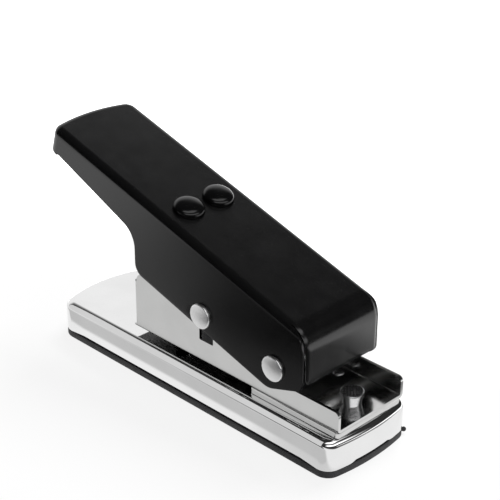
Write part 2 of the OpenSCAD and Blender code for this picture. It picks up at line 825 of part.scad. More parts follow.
// Long countersunk screw that draws the stem down on the punch
module stem_screw() {
    slope = (screw_head_d - screw_d) / 2;
    color("silver") translate([drive_x, 0, punch_z]) {
        cylinder(d1 = screw_head_d, d2 = screw_d, h = slope);
        cylinder(d = screw_d, h = punch_h + screw_l);
    }
}

base_tray();
base_cover();
die_block();
die_screws();
nose_spacer();
channel_frame();
front_post();
floor_rivets();
punch_guide();
guide_screws();
spring_studs();
spring_left();
spring_right();
lever_shell();
spring_buttons();
pivot_pin();
pivot_cap();
drive_pin();
drive_cap();
pivot_washers();
punch_head();
punch_stem();
stem_screw();
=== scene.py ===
import math

import bmesh
import bpy
from mathutils import Matrix, Vector


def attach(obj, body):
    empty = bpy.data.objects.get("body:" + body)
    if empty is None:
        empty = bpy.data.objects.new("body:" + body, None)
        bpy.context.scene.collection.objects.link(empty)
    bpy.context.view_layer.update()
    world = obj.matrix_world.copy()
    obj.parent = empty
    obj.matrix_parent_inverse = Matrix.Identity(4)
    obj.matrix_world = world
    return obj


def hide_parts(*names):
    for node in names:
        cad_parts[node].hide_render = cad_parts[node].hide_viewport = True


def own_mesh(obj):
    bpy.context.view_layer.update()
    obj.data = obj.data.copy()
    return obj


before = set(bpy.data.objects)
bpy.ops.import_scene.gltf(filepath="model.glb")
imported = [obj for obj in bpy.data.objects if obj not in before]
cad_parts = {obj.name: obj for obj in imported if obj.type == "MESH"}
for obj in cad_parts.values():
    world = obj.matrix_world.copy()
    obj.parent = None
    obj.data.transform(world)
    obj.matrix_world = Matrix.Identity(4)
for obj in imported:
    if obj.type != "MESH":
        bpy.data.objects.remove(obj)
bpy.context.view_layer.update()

# Sizes of the CAD model, in millimetres; heights count from the table
MM = 0.001
FREE = 0.3                                      # clearance between pieces
FIT = 0.06                                      # running fit of the punch and of the pivot
PIN_FIT = 0.05                                  # pins in the lever's holes and in their caps

# Tray
NOSE_REACH, TAIL_REACH = 73, 76                 # crowns of the nose and of the rear end
BASE_W, BASE_H = 42.6, 14.7
NOSE_BOW, TAIL_BOW = 2.3, 4.4                   # how far the crowns stand out past the corners
CORNER_R, TAIL_R = 5.5, 7                       # plan radius of the corners
EDGE_R, TRAY_T = 3, 1                           # rolled upper edge, sheet
FOOT_Z, RELIEF, RELIEF_RUN = 2.76, 0.8, 2.5     # lower edge at the corners, its rise between them, its ramp
DIE_L, DIE_W, DIE_R = 34.1, 30.1, 9             # opening for the die

# Cover
RIM_H, COVER_T = 2.7, 1.6                       # rim, floor
LIP_H, LIP_T, LIP_IN = 3.6, 1.4, 1.06           # lip that stands inside the tray, its distance from the outline
NUB_R, NUB_OUT, NUB_ROOT = 0.9, 0.7, 3          # finger nub, its middle past the corner, its length inwards

# Channel and what is fastened to it
CHAN_W, CHAN_T, BEND_R = 34.1, 1.2, 1.6
ROOF_Z, FLOOR_Z = 17.3, 18.5                    # lower and upper face of the channel's floor
NOSE_X, REAR_X = 71.4, -32.4
NOSE_WALL, REAR_WALL = 8.2, 23.7                # heights of the walls over the lower face
NOSE_CORNER_R, REAR_CORNER_R = 2, 4
TAB_W, TAB_H, TAB_LOW_R, TAB_TOP_R = 10.4, 18.5, 1.2, 2.5
SLOT_H, SPACER_L, SPACER_EDGE = 2.6, 42.1, 0.45     # card slot, spacer
PIN_SLOT_W, PIN_SLOT_FOOT, PIN_SLOT_R = 7.13, 26.5, 0.5
PIN_SLOT_BACK, PIN_SLOT_OVER = 0.265, 3.3       # slot's middle behind the drive pin, slot's end over it
POST_R, POST_FOOT_R, POST_H, POST_BACK = 4.35, 3.3, 4.9, 8.8
POST_SHANK_R, RIVET_SHANK_R = 2.5, 1.4
RIVET_R, RIVET_RIM, RIVET_DOME, RIVET_BACK, RIVET_Y = 2.1, 0.15, 0.55, 25.2, 11.5
STUD_R, STUD_H = 2, 5

# Pins
PIVOT, DRIVE = (43.4, 32.5), (7.4, 38.7)        # x and z of their middles at rest
PIN_R, HEAD_R, HEAD_H, HEAD_RIM = 3, 4.85, 1.7, 1.2
EAR_R = 6                                       # channel's round corners about the pins
WASHER_R, WASHER_BORE = 5.5, 3.05

# Lever, measured along it and square to it from the pivot
TILT, PRESS = math.radians(16.3), math.radians(14)
LEV_T, LEV_IN, LEV_OUT = 1.2, 18.4, 19.6        # sheet, inner and outer face of the side walls
LEV_TOP, LEV_DROP = 21, 9.6                     # top over the pivot, lower edge under it
LEV_REAR, LEV_REACH = 130.9, 14.1               # crown of the rear end, front of the flap
STEP_REACH, GRIP_DEPTH, LIP_DEPTH = 71.6, 15.7, 9.1
STEP_TOP_R, STEP_R, CHIN_BACK_R, CHIN_R = 9.5, 5, 8, 4
LIP_DROP, LIP_START, LIP_RUN = 0.8, 0.6, 1.2    # deeper edge of the rear lip and where it eases off
ROLL_R, NOSE_R, GRIP_R, GRIP_BOW = 3, 10, 5, 2.6
FLAP_Z, FLAP_R, FLAP_IN = 30.9, 1.3, 2.2        # flap's lower edge, its corners, edge of its flat middle
SETBACK, SEAM = 0.9, 0.25                       # side walls behind the flap, gap beside it
BUTTON_R, BUTTON_H, BUTTON_RIM = 6, 3.3, 0.25

# Springs
SPRING_R, WIRE_R, TURNS = 3.5, 0.6, 15
SPRING_Y, SPRING_BACK = 7.35, 63.5
SPRING_PLAY, CLOSED_RISE = 0.05, 1.7            # gap at each end, rise of the closed end turns

# Punch
PICK_L, PICK_W, PICK_R, TIP_R = 30, 26, 7, 3
PICK_STEPS = 6                                  # as in the CAD model, so that punch and die stay apart
PUNCH_FOOT, PUNCH_TOP, STEM_TOP = 17.9, 26.1, 48.7
STEM_L, STEM_T, EYE_R, EYE_BACK = 12, 5.4, 3.06, 3.6
GUIDE_L, GUIDE_W, GUIDE_R, GUIDE_H = 45, 31.1, 2, 5

ARC_STEPS = 10
EDGE_STEPS = 12                                 # steps in each arc of the lever's side view
BEYOND = 30                                     # half length of cutters that pass through both walls


# Outlines

def arc(c, r, a0, a1, n):
    """Points of an arc about c, from angle a0 to a1 in degrees."""
    steps = [math.radians(a0 + (a1 - a0) * i / n) for i in range(n + 1)]
    return [(c[0] + r * math.cos(a), c[1] + r * math.sin(a)) for a in steps]


def circle(c, r, n=40):
    return arc(c, r, 0, 360, n)[:-1]


def rounded(corners, n=ARC_STEPS):
    """Outline through corners given as (x, y, radius)."""
    out = []
    for i, (x, y, r) in enumerate(corners):
        c = Vector((x, y))
        if r == 0:
            out.append((x, y))
            continue
        u = (Vector(corners[i - 1][:2]) - c).normalized()
        w = (Vector(corners[(i + 1) % len(corners)][:2]) - c).normalized()
        half = u.angle(w) / 2
        m = c + (u + w).normalized() * r / math.sin(half)
        e0, e1 = c + u * r / math.tan(half) - m, c + w * r / math.tan(half) - m
        a0, a1 = math.degrees(math.atan2(e0.y, e0.x)), math.degrees(math.atan2(e1.y, e1.x))
        turn = (a1 - a0 + 540) % 360 - 180
        out += arc(m, r, a0, a0 + turn, n)
    return out


def plate(x, l, w, r, n=8):
    """Rectangle with round corners about (x, 0)."""
    corners = [(l / 2, -w / 2, r), (l / 2, w / 2, r), (-l / 2, w / 2, r), (-l / 2, -w / 2, r)]
    return [(px + x, py) for px, py in rounded(corners, n)]


def bow_radius(half, bow):
    return (half * half + bow * bow) / (2 * bow)


def corner_at(crown, half, bow, r):
    """Centre of the round corner between a bowed end and a straight side."""
    big = bow_radius(half, bow)
    return crown - big + math.sqrt((big - r) ** 2 - (half - r) ** 2), half - r


def bowed_half(crown, half, bow, r, d):
    """Half of a bowed end moved in by d, from the crown to the side at -Y."""
    big = bow_radius(half, bow)
    fx, fy = corner_at(crown, half, bow, r)
    a = math.degrees(math.atan2(fy, fx - crown + big))
    return arc((crown - big, 0), big - d, 0, -a, ARC_STEPS)[:-1] + arc((fx, -fy), r - d, -a, -90, ARC_STEPS)


def split(points, step):
    """Points with straight runs divided into steps no longer than step."""
    out = [points[0]]
    for a, b in zip(points, points[1:]):
        n = max(1, math.ceil(math.dist(a, b) / step))
        out += [tuple(p + (q - p) * i / n for p, q in zip(a, b)) for i in range(1, n + 1)]
    return out


def level_at(pts, x):
    """Height of a polyline at x."""
    for (x0, z0), (x1, z1) in zip(pts, pts[1:]):
        if x0 <= x <= x1:
            return z0 + (z1 - z0) * (x - x0) / (x1 - x0)
    return pts[-1][1]


def ease(t):
    """Smooth step from 0 to 1, held outside."""
    t = min(max(t, 0), 1)
    return t * t * (3 - 2 * t)


# Meshes

def make(name, verts, faces, angle=30):
    """Mesh object from points in millimetres, shaded smooth up to an angle."""
    me = bpy.data.meshes.new(name)
    me.from_pydata([tuple(c * MM for c in v) for v in verts], [], faces)
    bm = bmesh.new()
    bm.from_mesh(me)
    bmesh.ops.remove_doubles(bm, verts=bm.verts, dist=1e-7)
    bmesh.ops.recalc_face_normals(bm, faces=bm.faces)
    bm.to_mesh(me)
    bm.free()
    ob = bpy.data.objects.new(name, me)
    bpy.context.scene.collection.objects.link(ob)
    shade(ob, angle)
    return ob


def shade(ob, angle):
    """Shades smooth up to an angle; 0 is flat."""
    me = ob.data
    me.polygons.foreach_set("use_smooth", [angle > 0] * len(me.polygons))
    if angle > 0:
        me.set_sharp_from_angle(angle=math.radians(angle))


def settle(ob):
    """Applies the modifiers of an object."""
    bpy.context.view_layer.update()
    done = ob.evaluated_get(bpy.context.evaluated_depsgraph_get())
    me = bpy.data.meshes.new_from_object(done)
    ob.modifiers.clear()
    ob.data = me


def bevel(ob, width, segments=2, angle=50):
    m = ob.modifiers.new("edge", "BEVEL")
    m.width = width * MM
    m.segments = segments
    m.limit_method = "ANGLE"
    m.angle_limit = math.radians(angle)
    settle(ob)


def solidify(ob, t):
    """Gives an open sheet its thickness, on the side away from its normals."""
    m = ob.modifiers.new("sheet", "SOLIDIFY")
    m.thickness = t * MM
    m.offset = -1
    m.use_even_offset = True
    settle(ob)


def boolean(ob, others, how="DIFFERENCE"):
    for other in others:
        m = ob.modifiers.new("cut", "BOOLEAN")
        m.operation = how
        m.solver = "EXACT"
        m.object = other
        settle(ob)
        bpy.data.objects.remove(other)


def face_up(ob):
    """Turns an open sheet's faces so that its largest face looks up."""
    me = ob.data
    if max(me.polygons, key=lambda p: p.area).normal.z < 0:
        me.flip_normals()


def prism(name, outline, z0, z1, turn=None):
    """Prism of an outline from z0 to z1; turn puts the outline in another plane."""
    n = len(outline)
    verts = [(x, y, z) for z in (z0, z1) for x, y in outline]
    faces = [[i, (i + 1) % n, n + (i + 1) % n, n + i] for i in range(n)]
    faces += [list(range(n))[::-1], [n + i for i in range(n)]]
    if turn:
        verts = [turn(v) for v in verts]
    return make(name, verts, faces, 0)


def side_view(v):
    """Outline (x, z) drawn in the side view, its depth along Y."""
    return (v[0], v[2], v[1])


def rear_view(v):
    """Outline (y, z) drawn in the rear view, its depth along X."""
    return (v[2], v[0], v[1])


def rings_mesh(name, rings, angle, cap=(True, True)):
    """Closed loops joined in order; a loop's second half mirrors its first, so flat ends fill by pairs."""
    n = len(rings[0])
    verts = [p for r in rings for p in r]
    faces = [[k * n + i, k * n + (i + 1) % n, (k + 1) * n + (i + 1) % n, (k + 1) * n + i]
             for k in range(len(rings) - 1) for i in range(n)]
    for on, k in zip(cap, (0, len(rings) - 1)):
        if on:
            faces += [[k * n + i, k * n + i + 1, k * n + n - 2 - i, k * n + n - 1 - i] for i in range(n // 2 - 1)]
    return make(name, verts, faces, angle)


def no_repeats(ids):
    """Corners of a face without those that repeat the one before."""
    return [v for k, v in enumerate(ids) if v != ids[k - 1]]


def lathe(profile, n):
    """Points and faces of a turned shape; profile is (radius, height), pole to pole or a closed ring."""
    verts, faces, rows = [], [], []
    for r, h in profile:
        if r == 0:
            rows.append([len(verts)] * n)
            verts.append((0, 0, h))
        else:
            rows.append(list(range(len(verts), len(verts) + n)))
            verts += [(r * math.cos(2 * math.pi * i / n), r * math.sin(2 * math.pi * i / n), h) for i in range(n)]
    for a, b in zip(rows, rows[1:]):
        for i in range(n):
            f = no_repeats([a[i], a[(i + 1) % n], b[(i + 1) % n], b[i]])
            if len(f) > 2:
                faces.append(f)
    return verts, faces


def turned(name, profile, places, n=64):
    """Turned pieces at places, each a 4x4 matrix in millimetres, as one object."""
    verts, faces = [], []
    for m in places:
        v, f = lathe(profile, n)
        faces += [[i + len(verts) for i in face] for face in f]
        verts += [tuple(m @ Vector(c)) for c in v]
    return make(name, verts, faces)


def at(x, y, z, axis=(0, 0, 1)):
    """Place of a turned piece: its foot and its axis."""
    return Matrix.Translation((x, y, z)) @ Vector(axis).to_track_quat("Z", "Y").to_matrix().to_4x4()


def mirrored(p):
    return (p[0], -p[1], p[2])


def on_lever(x, y, z):
    """Place in the part's frame of a point along, across and square to the lever, from the pivot."""
    return (PIVOT[0] + x * math.cos(TILT) + z * math.sin(TILT), y,
            PIVOT[1] - x * math.sin(TILT) + z * math.cos(TILT))


def along(level, h):
    """Distance along the lever of a point h square to it and a level distance from the pivot."""
    return (level - h * math.sin(TILT)) / math.cos(TILT)


# Shader nodes

def noise(nt, coord, scale, detail, rough=0.5, stretch=None):
    vec = coord
    if stretch:
        mp = nt.nodes.new("ShaderNodeMapping")
        mp.inputs["Scale"].default_value = stretch
        nt.links.new(coord, mp.inputs["Vector"])
        vec = mp.outputs["Vector"]
    n = nt.nodes.new("ShaderNodeTexNoise")
    n.inputs["Scale"].default_value = scale
    n.inputs["Detail"].default_value = detail
    n.inputs["Roughness"].default_value = rough
    nt.links.new(vec, n.inputs["Vector"])
    return n.outputs["Fac"]


def ramp(nt, fac, lo, hi, out_lo, out_hi):
    m = nt.nodes.new("ShaderNodeMapRange")
    for k, v in zip(("From Min", "From Max", "To Min", "To Max"), (lo, hi, out_lo, out_hi)):
        m.inputs[k].default_value = v
    nt.links.new(fac, m.inputs["Value"])
    return m.outputs["Result"]


def smooth(nt, value, lo, hi):
    """Share that rises smoothly from 0 at lo to 1 at hi."""
    m = nt.nodes.new("ShaderNodeMapRange")
    m.interpolation_type = "SMOOTHSTEP"
    m.inputs["From Min"].default_value = lo
    m.inputs["From Max"].default_value = hi
    nt.links.new(value, m.inputs["Value"])
    return m.outputs["Result"]


def bumped(nt, height, strength, distance, normal=None):
    b = nt.nodes.new("ShaderNodeBump")
    b.inputs["Strength"].default_value = strength
    b.inputs["Distance"].default_value = distance
    nt.links.new(height, b.inputs["Height"])
    if normal:
        nt.links.new(normal, b.inputs["Normal"])
    return b.outputs["Normal"]


def maths(nt, how, a, b=0):
    """Result of a maths node; a and b are numbers or sockets."""
    m = nt.nodes.new("ShaderNodeMath")
    m.operation = how
    for i, v in enumerate((a, b)):
        if isinstance(v, (int, float)):
            m.inputs[i].default_value = v
        else:
            nt.links.new(v, m.inputs[i])
    return m.outputs[0]


def times(nt, a, b):
    return maths(nt, "MULTIPLY", a, b)


def plus(nt, a, b):
    return maths(nt, "ADD", a, b)


def blend(nt, a, b, share):
    """Tone a, turning into tone b by a share."""
    return plus(nt, a, times(nt, share, maths(nt, "SUBTRACT", b, a)))


def blend_colour(nt, a, b, share):
    """Colour a, turning into colour b by a share; each is a colour or a socket."""
    mix = nt.nodes.new("ShaderNodeMix")
    mix.data_type = "RGBA"
    for key, v in (("A", a), ("B", b)):
        if isinstance(v, tuple):
            mix.inputs[key].default_value = (*v, 1)
        else:
            nt.links.new(v, mix.inputs[key])
    nt.links.new(share, mix.inputs["Factor"])
    return mix.outputs["Result"]


def toward(nt, coord, direction):
    """How far a direction of view points the given way."""
    dot = nt.nodes.new("ShaderNodeVectorMath")
    dot.operation = "DOT_PRODUCT"
    dot.inputs[1].default_value = direction
    nt.links.new(coord, dot.inputs[0])
    return dot.outputs["Value"]


def axes(nt, vector):
    sep = nt.nodes.new("ShaderNodeSeparateXYZ")
    nt.links.new(vector, sep.inputs[0])
    return [sep.outputs[k] for k in "XYZ"]


def object_place(nt):
    return nt.nodes.new("ShaderNodeTexCoord").outputs["Object"]


def true_normal(nt):
    return nt.nodes.new("ShaderNodeNewGeometry").outputs["True Normal"]


def new_material(name):
    mat = bpy.data.materials.new(name)
    mat.use_nodes = True
    return mat, mat.node_tree


# Materials

# Surfaces by slot: two tints that drift into each other, roughness (low, high, scale), and a slow wave
# and a fine grain, each (scale, strength, distance in metres)
SURFACES = {
    "chrome_tray": dict(tints=((0.86, 0.86, 0.86), (0.82, 0.82, 0.82)), metal=1, rough=(0.05, 0.10, 90),
                        wave=(18, 0.25, 0.0002), grain=(900, 0.02, 0.00004)),
    "chrome_sheet": dict(tints=((0.69, 0.69, 0.685), (0.65, 0.65, 0.645)), metal=1, rough=(0.10, 0.18, 120),
                         wave=(22, 0.2, 0.0002), grain=(700, 0.03, 0.00005), stretch=(1, 6, 6)),
    "pin_chrome": dict(tints=((0.92, 0.92, 0.92), (0.88, 0.88, 0.88)), metal=1, rough=(0.30, 0.40, 200),
                       wave=(60, 0.1, 0.0001), grain=(1500, 0.03, 0.00003)),
    "bright_steel": dict(tints=((0.70, 0.70, 0.71), (0.62, 0.62, 0.63)), metal=1, rough=(0.18, 0.28, 300),
                         wave=(80, 0.1, 0.0001), grain=(1800, 0.08, 0.00004), stretch=(1, 1, 8)),
    "spring_steel": dict(tints=((0.66, 0.66, 0.66), (0.57, 0.57, 0.575)), metal=1, rough=(0.16, 0.28, 400),
                         wave=(120, 0.1, 0.0001), grain=(2500, 0.06, 0.00003)),
    "tool_steel": dict(tints=((0.09, 0.09, 0.092), (0.07, 0.07, 0.072)), metal=1, rough=(0.25, 0.40, 300),
                       wave=(60, 0.1, 0.0001), grain=(1200, 0.12, 0.00005), stretch=(10, 1, 1)),
    "dark_steel": dict(tints=((0.10, 0.10, 0.10), (0.07, 0.07, 0.072)), metal=1, rough=(0.30, 0.45, 300),
                       wave=(60, 0.1, 0.0001), grain=(1200, 0.12, 0.00005), stretch=(1, 1, 8)),
    "zinc_steel": dict(tints=((0.60, 0.60, 0.60), (0.53, 0.53, 0.54)), metal=1, rough=(0.22, 0.36, 400),
                       wave=(90, 0.1, 0.0001), grain=(1600, 0.08, 0.00004)),
    "black_paint": dict(tints=((0.003, 0.003, 0.0031), (0.004, 0.004, 0.0042)), metal=0, rough=(0.17, 0.24, 140),
                        wave=(35, 0.15, 0.0002), grain=(1400, 0.10, 0.00004)),
    "black_gloss": dict(tints=((0.002, 0.002, 0.0022), (0.003, 0.003, 0.0032)), metal=0, rough=(0.12, 0.20, 200),
                        wave=(90, 0.1, 0.0001), grain=(1600, 0.06, 0.00003), spec=0.4),
    "black_plastic": dict(tints=((0.022, 0.022, 0.024), (0.03, 0.03, 0.032)), metal=0, rough=(0.45, 0.60, 300),
                          wave=(40, 0.1, 0.0001), grain=(3000, 0.25, 0.00004), spec=0.4),
}
TINT_SCALE = 60
PAINT_SPEC, DULL_SPEC = 0.5, 0.14
# dark colour painted as shade on the sheet's upward edges and underside, and their roughness
PAINTED_SHADE_TINT, DULL_ROUGH = (0.10, 0.10, 0.10), 0.42


def material(name, tints, metal, rough, wave, grain, spec=PAINT_SPEC, stretch=None):
    """Procedural surface, as described over SURFACES."""
    mat, nt = new_material(name)
    bsdf = nt.nodes["Principled BSDF"]
    coord = object_place(nt)
    drift = ramp(nt, noise(nt, coord, TINT_SCALE, 4), 0.35, 0.65, 0, 1)
    nt.links.new(blend_colour(nt, *tints, drift), bsdf.inputs["Base Color"])
    bsdf.inputs["Metallic"].default_value = metal
    bsdf.inputs["Specular IOR Level"].default_value = spec
    low, high, scale = rough
    nt.links.new(ramp(nt, noise(nt, coord, scale, 5, 0.6, stretch), 0.3, 0.7, low, high), bsdf.inputs["Roughness"])
    normal = bumped(nt, noise(nt, coord, wave[0], 2), *wave[1:])
    normal = bumped(nt, noise(nt, coord, grain[0], 3, 0.6, stretch), *grain[1:], normal)
    nt.links.new(normal, bsdf.inputs["Normal"])
    return mat


def paint_shade_on_edges(mat):
    """Paints shade on the sheet: its sheared upper edges that face up, and its underside, get a dark colour, which
    stands in for shade, and are made dull.
    """
    nt = mat.node_tree
    bsdf = nt.nodes["Principled BSDF"]
    up, height = axes(nt, true_normal(nt))[2], axes(nt, object_place(nt))[2]
    edge = times(nt, smooth(nt, up, 0.6, 0.75), smooth(nt, height, 0.0192, 0.0196))
    dull = plus(nt, edge, smooth(nt, up, -0.8, -0.95))
    tint, rough = [bsdf.inputs[k].links[0].from_socket for k in ("Base Color", "Roughness")]
    # painted shade: the colour turns dark on these faces
    nt.links.new(blend_colour(nt, tint, PAINTED_SHADE_TINT, dull), bsdf.inputs["Base Color"])
    nt.links.new(blend(nt, rough, DULL_ROUGH, dull), bsdf.inputs["Roughness"])


def dull_sides(mat):
    """Makes the paint less glossy on the lever's upright sides, towards the pins."""
    nt = mat.node_tree
    across, ahead = axes(nt, true_normal(nt))[1], axes(nt, object_place(nt))[0]
    upright = smooth(nt, maths(nt, "ABSOLUTE", across), 0.85, 0.98)
    dull = times(nt, upright, smooth(nt, ahead, -0.03, 0.03))
    spec = blend(nt, PAINT_SPEC, DULL_SPEC, dull)
    nt.links.new(spec, nt.nodes["Principled BSDF"].inputs["Specular IOR Level"])


MATS = {slot: material(slot, **look) for slot, look in SURFACES.items()}
# painted shade on the upper edges and underside of the chrome sheet
paint_shade_on_edges(MATS["chrome_sheet"])
dull_sides(MATS["black_paint"])


def piece(ob, body, slot, *nodes):
    """Gives a finished piece its material, its body and the CAD nodes that it stands for."""
    ob.data.materials.clear()
    ob.data.materials.append(MATS[slot])
    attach(ob, body)
    if nodes:
        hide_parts(*nodes)


# Base

def base_loop(d, z):
    """Base outline moved in by d; z is a level or a function of (x, y)."""
    nose = bowed_half(NOSE_REACH, BASE_W / 2, NOSE_BOW, CORNER_R, d)
    rear = bowed_half(TAIL_REACH, BASE_W / 2, TAIL_BOW, TAIL_R, d)
    half = split(nose + [(-x, y) for x, y in reversed(rear)], 8)
    loop = half + [(x, -y) for x, y in reversed(half)]
    return [(x, y, z(x, y) if callable(z) else z) for x, y in loop]


def tray_foot(x, y):
    """Lower edge of the tray: down at the corners, raised along the straight runs."""
    nose = corner_at(NOSE_REACH, BASE_W / 2, NOSE_BOW, CORNER_R)
    rear = corner_at(TAIL_REACH, BASE_W / 2, TAIL_BOW, TAIL_R)
    side = nose[0] - CORNER_R / 2 - x if x > 0 else rear[0] - TAIL_R / 2 + x
    end = rear[1] - TAIL_R / 2 - abs(y)
    return FOOT_Z + RELIEF * ease(max(side, end) / RELIEF_RUN)


def base_tray():
    roll = [(EDGE_R * (1 - math.cos(a)), BASE_H - EDGE_R + EDGE_R * math.sin(a))
            for a in [math.pi / 2 * i / 10 for i in range(11)]]
    walls = [(0, z) for z in (4.4, 8, BASE_H - EDGE_R - 0.3)]
    rows = [(0, tray_foot)] + walls + roll + [(EDGE_R + 0.3, BASE_H)]
    ob = rings_mesh("tray", [base_loop(d, z) for d, z in rows], 30, (False, True))
    face_up(ob)
    solidify(ob, TRAY_T)
    boolean(ob, [prism("cut", plate(DRIVE[0], DIE_L, DIE_W, DIE_R, 12), 5, 20)])
    shade(ob, 30)
    bevel(ob, 0.12)
    piece(ob, "frame", "chrome_tray", "base_tray")


def base_cover():
    lip, inner, top = LIP_IN, LIP_IN + LIP_T, RIM_H + LIP_H
    rows = [(0.3, 0), (0.08, 0.05), (0, 0.25), (0, 0.7), (0, RIM_H - 0.3), (0.08, RIM_H - 0.08), (0.3, RIM_H),
            (lip - 0.02, RIM_H), (lip, RIM_H + 0.02), (lip, top - 0.5), (lip + 0.4, top), (inner - 0.2, top),
            (inner, top - 0.2), (inner, COVER_T + 0.6), (inner + 0.6, COVER_T)]
    ob = rings_mesh("cover", [base_loop(d, z) for d, z in rows], 35)
    fx, fy = corner_at(NOSE_REACH, BASE_W / 2, NOSE_BOW, CORNER_R)
    out = (CORNER_R + NUB_OUT) * math.cos(math.pi / 4)
    neck = NUB_R * 0.85
    ball = arc((0, 0), NUB_R, -32, 90, 10)[:-1]
    profile = [(0, -NUB_ROOT), (neck, -NUB_ROOT), (neck, -0.5)] + ball + [(0, NUB_R)]
    nub = turned("nub", profile, [at(fx + out, fy + out, RIM_H - NUB_R, (1, 1, 0))], 24)
    piece(nub, "cover", "black_plastic")
    piece(ob, "cover", "black_plastic", "base_cover")


def nose_spacer():
    outline = plate(NOSE_X - FREE - SPACER_L / 2, SPACER_L, CHAN_W - 2 * FREE, BEND_R)
    ob = prism("spacer", outline, BASE_H, BASE_H + SLOT_H)
    bevel(ob, SPACER_EDGE, 3)
    piece(ob, "frame", "chrome_sheet", "nose_spacer")


# Channel

def rear_tab(s):
    """Tab folded in at the rear end of the wall on side s."""
    w, t, e, g = CHAN_W / 2, CHAN_T, BEND_R, CHAN_W / 2 - TAB_W
    x, z0, z1 = REAR_X, FLOOR_Z + FREE, FLOOR_Z + FREE + TAB_H
    plan = rounded([(x + e + 0.02, w, 0), (x, w, e), (x, g, 0), (x + t, g, 0), (x + t, w - t, e - t),
                    (x + e + 0.02, w - t, 0)])
    tab = prism("tab", [(px, s * py) for px, py in plan], z0, z1)
    face = rounded([(s * (w + 1), z0, 0), (s * g, z0, TAB_LOW_R), (s * g, z1, TAB_TOP_R), (s * (w + 1), z1, 0)])
    boolean(tab, [prism("keep", face, x - 1, x + e + 1, rear_view)], "INTERSECT")
    return tab


def channel_frame():
    w, t = CHAN_W / 2, CHAN_T
    top = ROOF_Z + 40
    section = rounded([(-w, ROOF_Z, BEND_R), (w, ROOF_Z, BEND_R), (w, top, 0), (w - t, top, 0),
                       (w - t, FLOOR_Z, BEND_R - t), (t - w, FLOOR_Z, BEND_R - t), (t - w, top, 0), (-w, top, 0)])
    low, tab_z = ROOF_Z - 1, FLOOR_Z + FREE
    profile = rounded([
        (NOSE_X, low, 0), (NOSE_X, ROOF_Z + NOSE_WALL, NOSE_CORNER_R),
        (PIVOT[0] + EAR_R, ROOF_Z + NOSE_WALL, NOSE_CORNER_R), (PIVOT[0] + EAR_R, PIVOT[1] + EAR_R, EAR_R),
        (DRIVE[0] + EAR_R, DRIVE[1] + EAR_R, EAR_R), (DRIVE[0] - EAR_R, DRIVE[1] + EAR_R, EAR_R),
        (REAR_X + BEND_R, ROOF_Z + REAR_WALL, REAR_CORNER_R), (REAR_X + BEND_R, tab_z, 0), (REAR_X, tab_z, 0),
        (REAR_X, low, 0)])
    ob = prism("channel", section, REAR_X - 1, NOSE_X + 1, rear_view)
    boolean(ob, [prism("keep", profile, -BEYOND, BEYOND, side_view)], "INTERSECT")
    boolean(ob, [rear_tab(s) for s in (-1, 1)], "UNION")
    mid, half = DRIVE[0] - PIN_SLOT_BACK, PIN_SLOT_W / 2
    foot, end = PIN_SLOT_FOOT, DRIVE[1] + PIN_SLOT_OVER
    slot = rounded([(mid - half, foot, PIN_SLOT_R), (mid + half, foot, PIN_SLOT_R),
                    (mid + half, end, PIN_SLOT_R), (mid - half, end, PIN_SLOT_R)], 4)
    boolean(ob, [prism("cut", slot, -BEYOND, BEYOND, side_view),
                 prism("cut", circle(PIVOT, PIN_R + FIT), -BEYOND, BEYOND, side_view),
                 prism("cut", pick(FREE), ROOF_Z - 3, FLOOR_Z + 2)])
    bevel(ob, 0.14, 2, 55)
    shade(ob, 0)
    piece(ob, "frame", "chrome_sheet", "channel_frame")


def front_post():
    """Post with a tapered side and a peened top."""
    z, r, foot, top = BASE_H - TRAY_T, POST_R, POST_FOOT_R, FLOOR_Z + POST_H
    profile = [(0, z - 1), (foot - 0.3, z - 1), (foot, z - 0.7), (foot, z), (POST_SHANK_R, z),
               (POST_SHANK_R, FLOOR_Z), (foot - 0.1, FLOOR_Z), (foot, FLOOR_Z + 0.1), (r - 0.1, top - 0.8),
               (r - 0.02, top - 0.45), (r - 0.05, top - 0.2), (r - 0.16, top - 0.07), (r - 0.4, top)]
    profile += [(r - 0.4 - 0.25 * i, top) for i in range(1, 14)] + [(0, top)]
    x = NOSE_X - POST_BACK
    ob = turned("post", profile, [at(x, 0, 0)])
    for v in ob.data.vertices:
        px, py, pz = v.co / MM
        if pz > top - 0.01 and math.hypot(px - x, py) < r - 0.5:
            coarse = 0.08 * math.sin(4.3 * px + 1.3) * math.cos(3.9 * py + 0.4)
            fine = 0.04 * math.sin(8.1 * px - 6.7 * py)
            v.co.z += MM * (coarse + fine)
    piece(ob, "frame", "bright_steel", "front_post")


def floor_rivets():
    z, r, rim = BASE_H - TRAY_T, RIVET_R, FLOOR_Z + RIVET_RIM
    dome = [(r * math.cos(a), rim + RIVET_DOME * math.sin(a)) for a in [math.pi / 2 * i / 8 for i in range(8)]]
    profile = [(0, z - 0.7), (r - 0.3, z - 0.7), (r, z - 0.4), (r, z), (RIVET_SHANK_R, z),
               (RIVET_SHANK_R, FLOOR_Z), (r - 0.05, FLOOR_Z)] + dome + [(0, rim + RIVET_DOME)]
    ob = turned("rivets", profile, [at(NOSE_X - RIVET_BACK, s * RIVET_Y, 0) for s in (-1, 1)])
    piece(ob, "frame", "bright_steel", "floor_rivets")


def spring_studs():
    top, r = FLOOR_Z + STUD_H, STUD_R
    profile = [(0, ROOF_Z), (r, ROOF_Z), (r, top - 0.8), (r - 0.25, top - 0.25), (r - 0.8, top), (0, top)]
    x = spring_axis(0)[0][0]
    ob = turned("studs", profile, [at(x, s * SPRING_Y, 0) for s in (-1, 1)])
    piece(ob, "frame", "bright_steel", "spring_studs")


# Lever

# Rows of points up the lever's side walls, as shares of the height, and over the roll, in degrees
WALL_SHARES = [0, 0.03, 0.07, 0.12, 0.2, 0.35, 0.5, 0.65, 0.8, 0.92]
ROLL_LOW, ROLL_HIGH = [0, 8, 15, 22, 30, 37, 44, 52], [61, 64, 68, 72, 78, 84, 90]
BEND_STEPS, FLAP_STEPS = 14, 8


